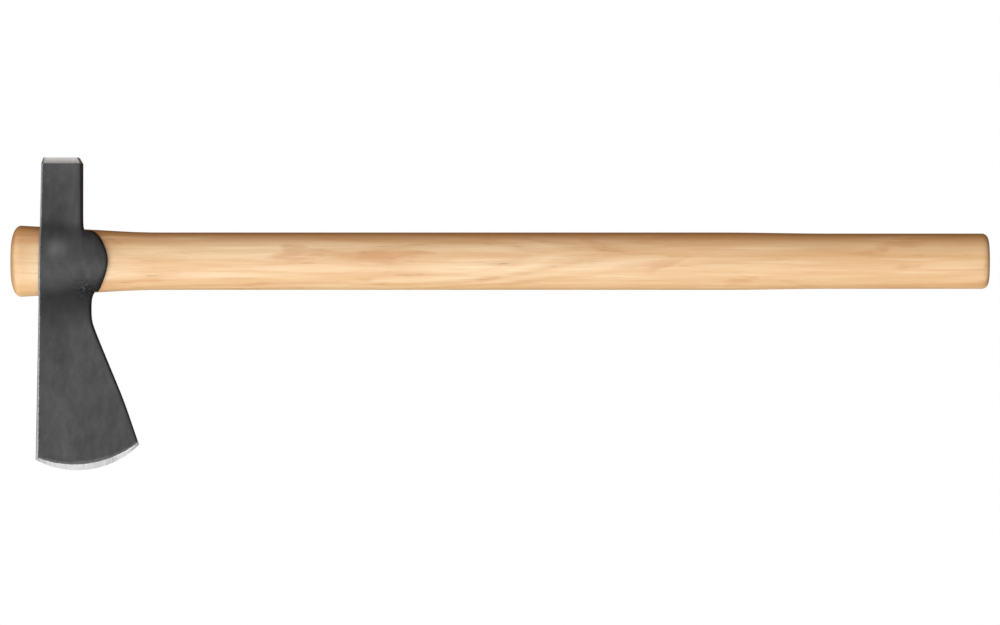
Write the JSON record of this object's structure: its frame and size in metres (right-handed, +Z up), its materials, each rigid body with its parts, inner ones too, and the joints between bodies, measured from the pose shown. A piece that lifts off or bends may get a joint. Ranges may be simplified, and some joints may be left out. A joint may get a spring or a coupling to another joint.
{
  "type": "hammer poll tomahawk",
  "caption": "Slip-fit tomahawk: forged head with hammer poll, eared eye and flared blade on a straight oval hickory handle, locked by a set screw.",
  "frame": {"origin": "on the surface that the tool lies on, under the middle of its bounding box", "axes": "+X along the handle from the head to the butt, exactly parallel to the handle's axis; -Y towards the cutting edge and +Y towards the poll; +Z up. The head leans 7.46 degrees about X, as it lies on one cheek and the shoulder of its edge bevel, so the poll's axis is the poll_face mount's"},
  "size_m": [0.559, 0.1782, 0.0342],
  "materials": {
    "hickory": "smooth, sealed pale hickory with long brown grain streaks",
    "forged_steel": "matt black oxide over forging texture, bare ground edge bevel and poll face",
    "screw_steel": "satin black oxide"
  },
  "bodies": {
    "handle": {"handle": "hickory"},
    "head": {"axe_head": "forged_steel"},
    "set_screw": {"set_screw": "screw_steel"}
  },
  "joints": [
    {"name": "head_slide", "type": "slide", "parent": "handle", "child": "head", "axis": [1, 0, 0], "range_m": [0, 0.48]},
    {"name": "set_screw_travel", "type": "slide", "parent": "head", "child": "set_screw", "axis": [0, 0.1299, -0.9915], "range_m": [0, 0.003]}
  ]
}
